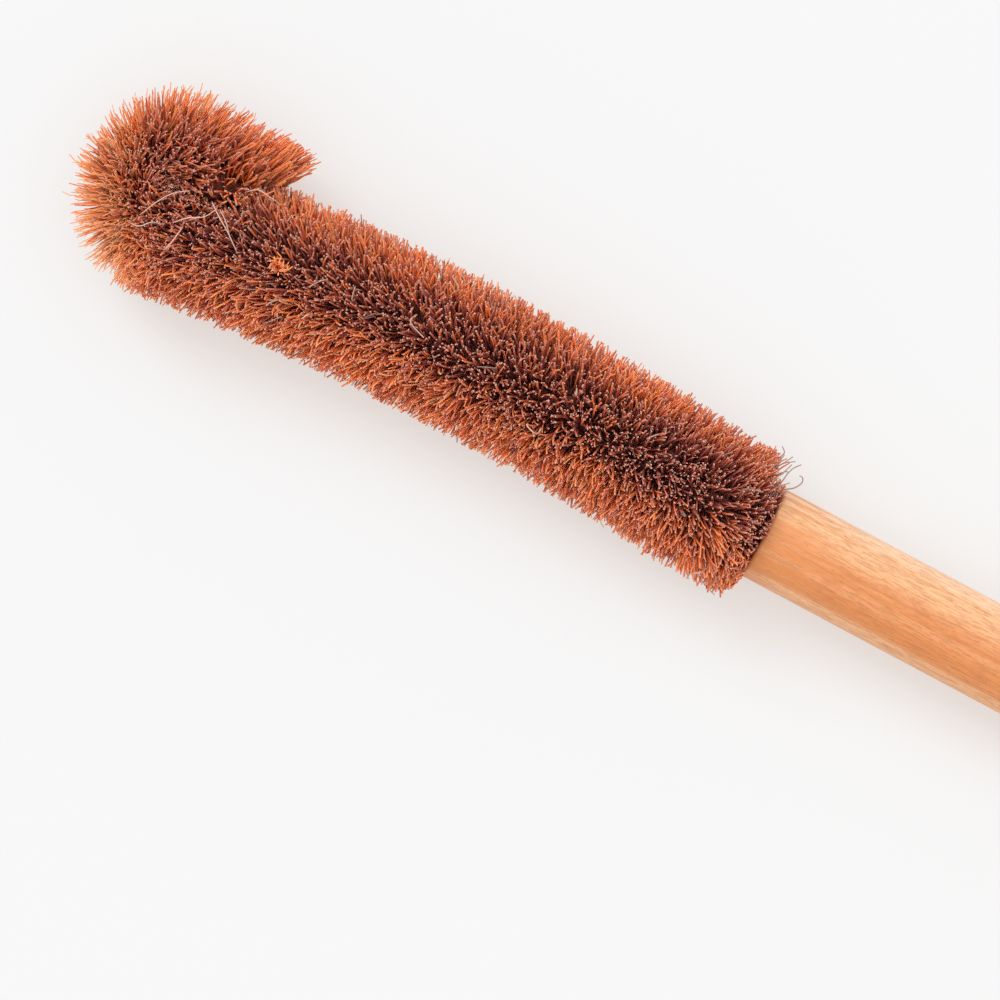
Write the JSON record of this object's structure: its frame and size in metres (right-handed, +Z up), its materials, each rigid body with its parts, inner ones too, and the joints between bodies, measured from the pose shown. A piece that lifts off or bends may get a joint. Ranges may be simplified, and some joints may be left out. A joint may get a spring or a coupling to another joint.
{
  "type": "coir bottle brush",
  "caption": "Bottle brush with coir fibres caught in a twisted wire, bent to a hook at the tip, on a round wooden handle.",
  "frame": {"origin": "middle of the grip, on the handle's axis", "axes": "+X along the handle's axis, out of its free end; +Z up as the brush lies on its coir, with the hook flat in the XY plane and curling towards +Y"},
  "size_m": [0.344, 0.0518, 0.0372],
  "materials": {
    "wood": "smooth turned wood, thinly sealed",
    "wire": "galvanised wire",
    "coir": "rough dry coir fibre"
  },
  "bodies": {
    "root": {"handle": "wood", "wire": "wire", "coir": "coir"}
  },
  "joints": []
}
